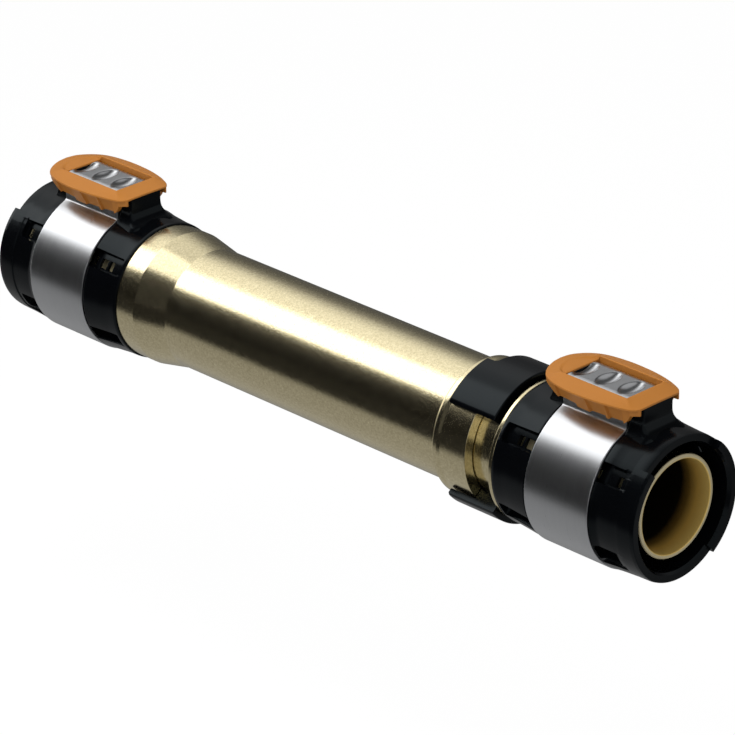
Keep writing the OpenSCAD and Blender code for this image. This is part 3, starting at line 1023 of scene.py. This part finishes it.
@dataclass
class PressBand(EndPart):
    """A steel press band: one bent sheet with a hollow lug and three pressed dimples."""

    sheet: float = 1.4
    top_round: float = 3.6
    crease_round: float = 0.6
    edge_round: float = 0.3
    dimples: tuple[float, ...] = (-13.7, -2.2, 9.3)
    dimple_sweep: float = 10.7
    dimple_waist: float = 6.5
    dimple_rise: float = 2.0
    dimple_soft: float = 0.3

    def outline(self) -> np.ndarray:
        """The band's outer line in Y and Z, round the holder and up over the lug.

        Returns:
            The points of the line, from the middle of the lug's top over the front.
        """
        g, half, top = self.gauge, self.gauge.lug_half, self.gauge.lug_top
        crease = math.asin(half / g.band_r)
        angle = np.linspace(crease, 2 * math.pi - crease, 181)
        arc = np.stack([-g.band_r * np.sin(angle), g.band_r * np.cos(angle)], axis=-1)
        start, end, arc = arc[0], arc[-1], arc[4:-4]
        up, low = top - self.top_round, start[1] + self.crease_round
        t = np.linspace(0, 1, 7)[:, None]

        def bend(a: Sequence[float], corner: Sequence[float], b: Sequence[float]) -> np.ndarray:
            """The parabola from a to b that leaves both along their lines to the corner."""
            return (1 - t) ** 2 * np.array(a) + 2 * t * (1 - t) * np.array(corner) + t**2 * np.array(b)

        level = np.linspace(up, low, 12)[1:-1]
        flat = np.linspace(half - self.top_round, self.top_round - half, 71)
        over = np.stack([flat, np.full_like(flat, top)], axis=-1)
        return np.concatenate(
            [
                over[1:-1],
                bend(over[-1], (-half, top), (-half, up)),
                np.stack([np.full_like(level, start[0]), level], axis=-1),
                bend((start[0], low), start, arc[0]),
                arc[1:-1],
                bend(arc[-1], end, (end[0], end[1] + self.crease_round)),
                np.stack([np.full_like(level, end[0]), level[::-1]], axis=-1),
                bend((half, up), (half, top), over[0]),
            ]
        )

    def depth(self, u: np.ndarray, y: np.ndarray) -> np.ndarray:
        """How deep the dimples are pressed at a place on the lug's top.

        Each dimple is the part of a spindle along Y that lies under the top: the spindle's
        radius at y is the sweep's arc less the waist, and its middle lies above the top.

        Args:
            u: Place along the lug.
            y: Place across it.

        Returns:
            The depth below the top.
        """
        girth = np.sqrt(np.maximum(self.dimple_sweep**2 - y**2, 0)) - self.dimple_waist
        deepest = np.zeros(np.broadcast(u, y).shape)
        for place in self.dimples:
            below = np.sqrt(np.maximum(girth**2 - (u - place) ** 2, 0)) - self.dimple_rise
            softened = 0.5 * (below + np.sqrt(below**2 + self.dimple_soft**2))
            deepest = np.maximum(deepest, softened)
        rest = 0.5 * (math.sqrt(self.dimple_rise**2 + self.dimple_soft**2) - self.dimple_rise)
        return np.maximum(deepest - rest, 0)

    def section(self) -> np.ndarray:
        """The sheet's rounded section, as place along X and depth in from the outer line."""
        edge = self.gauge.band_edge
        corners = [[-edge, 0], [edge, 0], [edge, self.sheet], [-edge, self.sheet]]
        line = rounded(corners, self.edge_round, 4)
        long_way = np.linspace(-edge + 0.45, edge - 0.45, 120)
        outer_row = np.stack([long_way, np.zeros_like(long_way)], axis=-1)
        inner_row = np.stack([long_way[::-1], np.full_like(long_way, self.sheet)], axis=-1)
        n = len(line) // 4
        return np.concatenate([line[:n], outer_row, line[n : 3 * n], inner_row, line[3 * n :]])

    def build(self) -> None:
        """Makes the band: its rounded sheet section carried along the outline."""
        line = self.outline()
        tangent = np.roll(line, -1, axis=0) - np.roll(line, 1, axis=0)
        tangent /= np.linalg.norm(tangent, axis=1, keepdims=True)
        normal = np.stack([tangent[:, 1], -tangent[:, 0]], axis=-1)
        flip = np.sign(np.einsum("ij,ij->i", normal, line - np.array([0.0, 5.0])))
        normal *= np.where(np.abs(flip) > 0, flip, 1)[:, None]
        section = self.section()
        u, inside = section[None, :, 0], section[None, :, 1]
        y = line[:, None, 0] - normal[:, None, 0] * inside
        z = line[:, None, 1] - normal[:, None, 1] * inside
        z = z - self.depth(u, y) * smooth_step((z - (self.gauge.lug_top - self.sheet - 0.9)) / 0.6)
        x = self.middle + np.broadcast_to(u, y.shape)
        self.make("band_sheet", grid(np.stack([x, y, z], axis=-1), True, True), BAND_STEEL, "band")


@dataclass
class Indicator(EndPart):
    """An orange indicator: a windowed plate with a sloping skirt along each side of the lug."""

    rim_line: tuple[tuple[float, float, float], ...] = (
        (23.7, 0.0, 1.7), (23.7, 4.0, 1.75), (23.6, 7.5, 1.85), (23.3, 10.2, 2.05), (22.1, 12.3, 2.2),
        (19.6, 13.9, 2.15), (14.0, 15.8, 1.95), (6.0, 17.3, 1.85), (-4.0, 17.9, 1.85), (-12.0, 17.2, 1.8),
        (-18.0, 15.6, 1.68), (-22.0, 13.2, 1.6), (-24.8, 9.4, 1.3), (-26.3, 4.8, 0.85), (-26.8, 0.0, 0.7),
    )
    skirt_edge: tuple[tuple[float, float], ...] = (
        (-22.6, -5.0), (-18.5, -8.0), (-16.0, -9.4), (-15.8, -9.2), (-6.5, -9.9), (-6.3, -10.2),
        (0.0, -10.4), (0.2, -10.0), (8.1, -9.7), (8.3, -10.1), (9.5, -10.1), (9.7, -9.5),
        (16.7, -9.0), (16.9, -9.4), (18.4, -8.4), (19.4, -6.6), (20.0, -5.2), (23.4, -5.0),
    )
    window_gap: float = 0.12
    window_side: float = 0.19
    thick: float = 2.4
    lip: float = 0.9
    level_share: float = 0.06
    edge_round: float = 0.3
    points_round: int = 288
    seat_half: float = 8.45
    seat_rise: float = 0.55
    seat_from: float = 18.0
    facet_middle: float = -11.7
    facet_r: float = 11.1
    facet_step: float = 0.12
    facet_slope: float = 0.15
    rib_y: float = 12.5
    rib_end: float = 20.0
    panel_depth: float = 0.9
    panels: tuple[tuple[float, float], ...] = ((-16.0, -6.4), (0.1, 8.2), (9.6, 16.8))

    def rim_curve(self) -> np.ndarray:
        """The plate's outline from its right end over one side to its left end.

        Returns:
            Rows of place, half width and how far the rim lies below the plate's top.
        """
        knot = np.array(self.rim_line)
        return np.column_stack([flowing(knot[:, :2], 12), flowing(knot[:, [0, 2]], 12)[:, 1]])

    def directions(self) -> np.ndarray:
        """Angles round the middle, evenly spaced but moved to meet the window's corners."""
        corner = math.atan2(self.gauge.lug_half + self.window_side, self.gauge.band_edge + self.window_gap)
        even = np.linspace(0, 2 * math.pi, self.points_round, endpoint=False)
        corners = np.array([corner, math.pi - corner, math.pi + corner, 2 * math.pi - corner])
        even[np.abs(even[:, None] - corners[None, :]).argmin(axis=0)] = corners
        return even

    def rim(self, inset: float) -> np.ndarray:
        """The plate's outline, drawn in by an inset.

        Along each direction from the middle it lies at the rim curve's distance, read off
        by angle, less the inset.

        Args:
            inset: How far the outline is drawn in.

        Returns:
            Rows of place, side and how far the rim lies below the top, one for each direction.
        """
        curve, turn = self.rim_curve(), self.directions()
        angle = np.arctan2(curve[:, 1], curve[:, 0])
        folded = np.abs((turn + math.pi) % (2 * math.pi) - math.pi)
        reach = np.interp(folded, angle, np.hypot(curve[:, 0], curve[:, 1])) - inset
        drop = np.interp(folded, angle, curve[:, 2])
        return np.column_stack([np.cos(turn) * reach, np.sin(turn) * reach, drop])

    def hole(self, grow: float) -> np.ndarray:
        """The window's outline, widened by a margin, with one point for each direction."""
        limit = np.array([self.gauge.band_edge + self.window_gap, self.gauge.lug_half + self.window_side])
        way = np.stack([np.cos(self.directions()), np.sin(self.directions())], axis=-1)
        scale = (limit / np.maximum(np.abs(way), 1e-9)).min(axis=1)
        point = way * scale[:, None]
        return point + grow * np.sign(point) * (np.abs(point) > limit - 1e-6)

    def facet(self, flat: np.ndarray) -> np.ndarray:
        """How far the round facet left of the window dips below the plate at a place."""
        u, y = flat[..., 0], flat[..., 1]
        inside = smooth_step((self.facet_r - np.hypot(u - self.facet_middle, y)) / 0.5)
        inside = inside * smooth_step((-u - self.gauge.band_edge + 0.3) / 0.3)
        from_start = np.maximum(u - self.facet_middle + self.facet_r, 0)
        return inside * (self.facet_step + self.facet_slope * from_start)

    def plate(self) -> Surface:
        """The windowed plate: rings from the window's foot over the top to the outer foot.

        The top falls evenly from the window to the rim along each direction, and both ends
        are cut away below where the plate lies on its pedestals.

        Returns:
            The closed plate.
        """
        top, base = self.gauge.plate_top, self.gauge.plate_top - self.thick
        outline = self.rim(0.0)
        place, drop = outline[:, 0], outline[:, 2]
        on_seat = smooth_step((self.seat_half - np.abs(outline[:, 1])) / 0.3 + 0.5)
        raised = base + self.seat_rise * on_seat * (place < -self.seat_from)
        foot = np.minimum(raised, top - drop - self.lip)
        window_foot = np.minimum(np.where(np.abs(place) > self.seat_from, raised, base), foot + 0.3)
        rows = [(self.hole(0.0), window_foot)]
        small = self.edge_round
        for a in np.linspace(0, math.pi / 2, 4):
            flat = self.hole(small * (1 - math.cos(a)))
            rows.append((flat, top - small + small * math.sin(a) - self.facet(flat)))
        inner, outer = self.hole(small), self.rim(small)[:, :2]
        for share in np.linspace(0, 1, 18)[1:-1]:
            flat = inner + (outer - inner) * share
            slope = drop * max(0.0, share - self.level_share) / (1 - self.level_share)
            rows.append((flat, top - slope - self.facet(flat)))
        for a in np.linspace(0, math.pi / 2, 5):
            rows.append((self.rim(small * (1 - math.sin(a)))[:, :2], top - drop - small * (1 - math.cos(a))))
        rows += [(outline[:, :2], foot + 0.12), (self.rim(0.12)[:, :2], foot)]
        points = np.stack([np.column_stack(row) for row in rows])
        points[..., 0] += self.middle
        return grid(points, True, True)

    def skirt(self, way: int) -> Surface:
        """A skirt along one side: a strip that slopes in from under the rim to the lug's foot.

        Its outer face runs from the rim to the ribs' foot, panels between the ribs are set
        back, and its lower edge is a line of heights along the plate.

        Args:
            way: -1 for the front and 1 for the back.

        Returns:
            The closed skirt.
        """
        top, start = self.gauge.plate_top, self.gauge.plate_top - self.thick + 0.1
        edge = np.array(self.skirt_edge)
        stops = [end for panel in self.panels for end in panel] + [self.rib_end]
        u = lines(edge[0, 0], edge[-1, 0], 1.1, stops, [-0.25, -0.1, 0.1, 0.25])
        t = np.linspace(0, 1, 11)
        curve = self.rim_curve()[::-1]
        wide = np.interp(u, np.maximum.accumulate(curve[:, 0]), curve[:, 1]) - 0.45
        recess = sum(smooth_step(np.minimum(u - a, b - u) / 0.4 + 0.2) for a, b in self.panels)
        wall = self.gauge.lug_half + self.window_side + 0.05
        foot = np.where(u > self.rib_end, wide - 0.1, np.minimum(self.rib_y, wide))
        y = wide[:, None] + (foot - wide)[:, None] * t[None, :] ** 0.85
        y = y - self.panel_depth * recess[:, None] * np.minimum(t / 0.12, 1)[None, :]
        z = start + (top + np.interp(u, edge[:, 0], edge[:, 1]) - start)[:, None] * t[None, :]
        outer = np.stack([u[:, None] + 0 * t, np.maximum(y, wall + 0.6), z], axis=-1)
        inner = np.stack([u[:, None] + 0 * t, wall + 0 * z, z], axis=-1)[:, ::-1]
        ring = np.concatenate([outer, inner], axis=1)
        ring[..., 0] += self.middle
        ring[..., 1] *= way
        return grid(ring, False, True, cap_u=True)

    def build(self) -> None:
        """Makes the plate and both skirts."""
        self.make("window_plate", self.plate(), ORANGE, "indicator")
        self.make("skirt_front", self.skirt(-1), ORANGE, sharp=30.0)
        self.make("skirt_back", self.skirt(1), ORANGE, sharp=30.0)


@dataclass
class SmallParts:
    """The CAD nodes that keep their own shape and only get a better finish."""

    seals: tuple[str, ...] = (
        "slide_seal_front", "slide_seal_back", "left_seal_outer", "left_seal_inner",
        "right_seal_outer", "right_seal_inner",
    )

    def dress(self) -> None:
        """Puts each node's finish into its material slots."""
        finishes = {name: RUBBER for name in self.seals}
        finishes |= {"guide_ring": WHITE, "stop_ring": SPRING}
        finishes |= {"left_stop_ring": BLACK, "right_stop_ring": BLACK}
        for name, finish in finishes.items():
            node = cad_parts[name]
            node.data.materials.clear()
            node.data.materials.append(finish.material())
            LOG.info("node %s is dressed", name)


@dataclass(frozen=True)
class Tent:
    """A part of a tube about X that glows in reflections only, by angle and by place along X."""

    name: str
    radius: float
    span: tuple[float, float]
    turn: tuple[float, float]
    peak: float
    lean: float
    level_at: float
    side: tuple[float, float]
    side_glow: float
    far: tuple[float, float]
    far_glow: float
    glow: tuple[tuple[float, float], ...]

    def material(self) -> bpy.types.Material:
        """The tent's glow, worked out from where a point of it lies as seen from the coupling.

        The angle is the arc tangent of -Y over Z, plus the lean for each unit of slant past
        the level one, and a ramp turns it into a glow. The slant is X over the distance
        from the middle line, and between the side's two slants the side's glow takes over.
        From the far slants on the glow is at least the far one.

        Returns:
            The material.
        """
        material, made = new_material(self.name)
        material.cycles.emission_sampling = "NONE"
        place = made.node("ShaderNodeTexCoord").outputs["Object"]
        x, y, z = made.node("ShaderNodeSeparateXYZ", Vector=place).outputs
        turned = made.math("ARCTAN2", made.math("MULTIPLY", y, -1.0), z)
        if self.turn[1] > 180:
            turned = made.math("FLOORED_MODULO", turned, 2 * math.pi)
        slant = made.math("DIVIDE", x, self.radius * MM)
        leant = made.math("MULTIPLY_ADD", slant, math.radians(self.lean), turned)
        first, last, shift = self.glow[0][0], self.glow[-1][0], self.lean * self.level_at
        share = made.spread(leant, math.radians(first + shift), math.radians(last + shift))
        stops = [((turn - first) / (last - first), [glow / self.peak] * 3) for turn, glow in self.glow]
        overhead = made.math("MULTIPLY", made.ramp(share, stops), self.peak)
        mixed = made.mix("FLOAT", made.spread(slant, *self.side), overhead, self.side_glow)
        strength = made.math("MAXIMUM", mixed, made.spread(slant, *self.far, high=self.far_glow))
        bright = made.node("ShaderNodeEmission", Color=PURE_WHITE, Strength=strength)
        made.node("ShaderNodeOutputMaterial", Surface=bright.outputs["Emission"])
        return material

    def hang(self) -> None:
        """Hangs the tent: its tube part, which is open at both ends."""
        turn = np.radians(np.linspace(*self.turn, 121))[:, None]
        surface = grid(polar(np.array([self.span]), np.array([[self.radius]]), turn), False, False)
        tent = mesh_object(self.name, surface.points, surface.quads.tolist(), self.material())
        for way in ("camera", "diffuse", "shadow", "transmission", "volume_scatter"):
            setattr(tent, f"visible_{way}", False)


UPPER_TENT = Tent(
    name="upper_tent", radius=1500.0, span=(-6000.0, 6000.0), turn=(-96.0, 96.0), peak=2.6,
    lean=15.0, level_at=-0.95, side=(-0.78, -0.28), side_glow=0.07, far=(0.10, 0.35), far_glow=0.50,
    glow=(
        (-97.0, 0.09), (-73.0, 0.12), (-57.0, 0.25), (-47.0, 0.56), (-37.0, 0.83), (-27.0, 1.08),
        (1.0, 1.18), (5.0, 2.6), (40.0, 2.6), (43.5, 0.10), (62.0, 0.02), (83.0, 0.01), (100.0, 0.02),
    ),
)
LOWER_TENT = Tent(
    name="lower_tent", radius=149.0, span=(-700.0, 800.0), turn=(88.0, 275.0), peak=1.0,
    lean=0.0, level_at=0.0, side=(0.70, 0.80), side_glow=0.30, far=(0.10, 0.35), far_glow=0.10,
    glow=(
        (88.0, 0.02), (110.0, 0.02), (119.0, 0.30), (150.0, 0.32), (180.0, 0.36), (230.0, 0.20),
        (258.0, 0.10), (275.0, 0.09),
    ),
)


@dataclass(frozen=True)
class Lamp:
    """A rectangular white lamp that faces the coupling and shows in no reflection."""

    name: str
    place: tuple[float, float, float]
    size: tuple[float, float]
    glow: float
    aim: tuple[float, float, float] = (-174.0, 0.0, 10.0)

    def hang(self) -> None:
        """Adds the lamp, where a glow of 1 makes its face white."""
        data = bpy.data.lights.new(self.name, "AREA")
        data.shape = "RECTANGLE"
        data.size, data.size_y = self.size[0] * MM, self.size[1] * MM
        data.energy = self.glow * math.pi * data.size * data.size_y
        way = (Vector(self.aim) - Vector(self.place)).normalized()
        lamp = place_turned(self.name, data, self.place, way.to_track_quat("-Z", "X"))
        lamp.visible_glossy = False


def place_turned(
    name: str, data: bpy.types.ID, place: Sequence[float], turn: Quaternion
) -> bpy.types.Object:
    """Puts a lamp or a camera into the scene at a place in millimetres, turned as given."""
    made = bpy.data.objects.new(name, data)
    made.location = Vector(place) * MM
    made.rotation_mode = "QUATERNION"
    made.rotation_quaternion = turn
    bpy.context.scene.collection.objects.link(made)
    return made


@dataclass
class Studio:
    """The camera at the photo's angle, the soft light, the floor and the two light tents.

    The two tents show only in reflections, so they take the place of the long soft boxes
    and black flags of a photo studio.
    """

    azimuth: float = 45.1
    elevation: float = 24.89
    lens: float = 214.6
    sensor: float = 36.0
    place: tuple[float, float, float] = (951.7, -1110.86, 733.78)
    floor_z: float = -150.0
    floor_reach: float = 6000.0
    floor_colour: Colour = (0.75, 0.75, 0.75)
    floor_glow: float = 1.06
    floor_share: float = 0.9
    soft_light: float = 0.42
    hung: tuple[Tent | Lamp, ...] = (
        UPPER_TENT,
        LOWER_TENT,
        Lamp("key_panel", (-240.0, -260.0, 700.0), (700.0, 420.0), 3.6),
        Lamp("fill_panel", (420.0, -480.0, 160.0), (500.0, 300.0), 0.3),
    )

    def camera(self) -> None:
        """Places the camera where the photo was taken from."""
        a, e = math.radians(self.azimuth), math.radians(self.elevation)
        ahead = -Vector((math.sin(a) * math.cos(e), -math.cos(a) * math.cos(e), math.sin(e)))
        data = bpy.data.cameras.new("photo_camera")
        data.sensor_width, data.lens = self.sensor, self.lens
        data.clip_start, data.clip_end = 0.1, 20.0
        turn = ahead.to_track_quat("-Z", "Y")
        bpy.context.scene.camera = place_turned("photo_camera", data, self.place, turn)

    def floor(self) -> None:
        """Lays a large pale floor under the coupling."""
        material, made = new_material("pale_floor")
        paper = made.node("ShaderNodeBsdfDiffuse", Color=(*self.floor_colour, 1.0))
        bright = made.node("ShaderNodeEmission", Color=PURE_WHITE, Strength=self.floor_glow)
        mix = made.node("ShaderNodeMixShader")
        share = made.math("MULTIPLY", made.seen(), self.floor_share)
        for socket, value in zip(mix.inputs, (share, paper.outputs["BSDF"], bright.outputs["Emission"])):
            made.feed(socket, value)
        made.node("ShaderNodeOutputMaterial", Surface=mix.outputs["Shader"])
        reach = self.floor_reach
        corners = [[-reach, -reach], [reach, -reach], [reach, reach], [-reach, reach]]
        points = np.array([[x, y, self.floor_z] for x, y in corners])
        mesh_object("floor", points, [[0, 1, 2, 3]], material)

    def sky(self) -> None:
        """Sets the world: a white backdrop to look at and soft light on the coupling."""
        world = bpy.data.worlds.new("studio_sky")
        bpy.context.scene.world = world
        world.use_nodes = True
        made = ShaderTree(world.node_tree)
        level = made.spread(made.seen(), 0, 1, self.soft_light, 1)
        back = made.node("ShaderNodeBackground", Color=PURE_WHITE, Strength=level)
        made.node("ShaderNodeOutputWorld", Surface=back.outputs["Background"])

    def build(self) -> None:
        """Sets up the whole studio."""
        self.camera()
        self.sky()
        self.floor()
        for one in self.hung:
            one.hang()
        bpy.context.scene.view_settings.view_transform = "Standard"


def main() -> None:
    """Builds the coupling's pieces in order, after the studio."""
    logging.basicConfig(level=logging.INFO, format="%(message)s")
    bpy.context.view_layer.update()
    gauge = Gauge.from_frame()
    Studio().build()
    TurnedBrass(gauge).build()
    LockClip(gauge).build()
    for side in Side:
        for part in (Holder, PressBand, Indicator):
            part(gauge, side).build()
    SmallParts().dress()


if __name__ == "__main__":
    main()
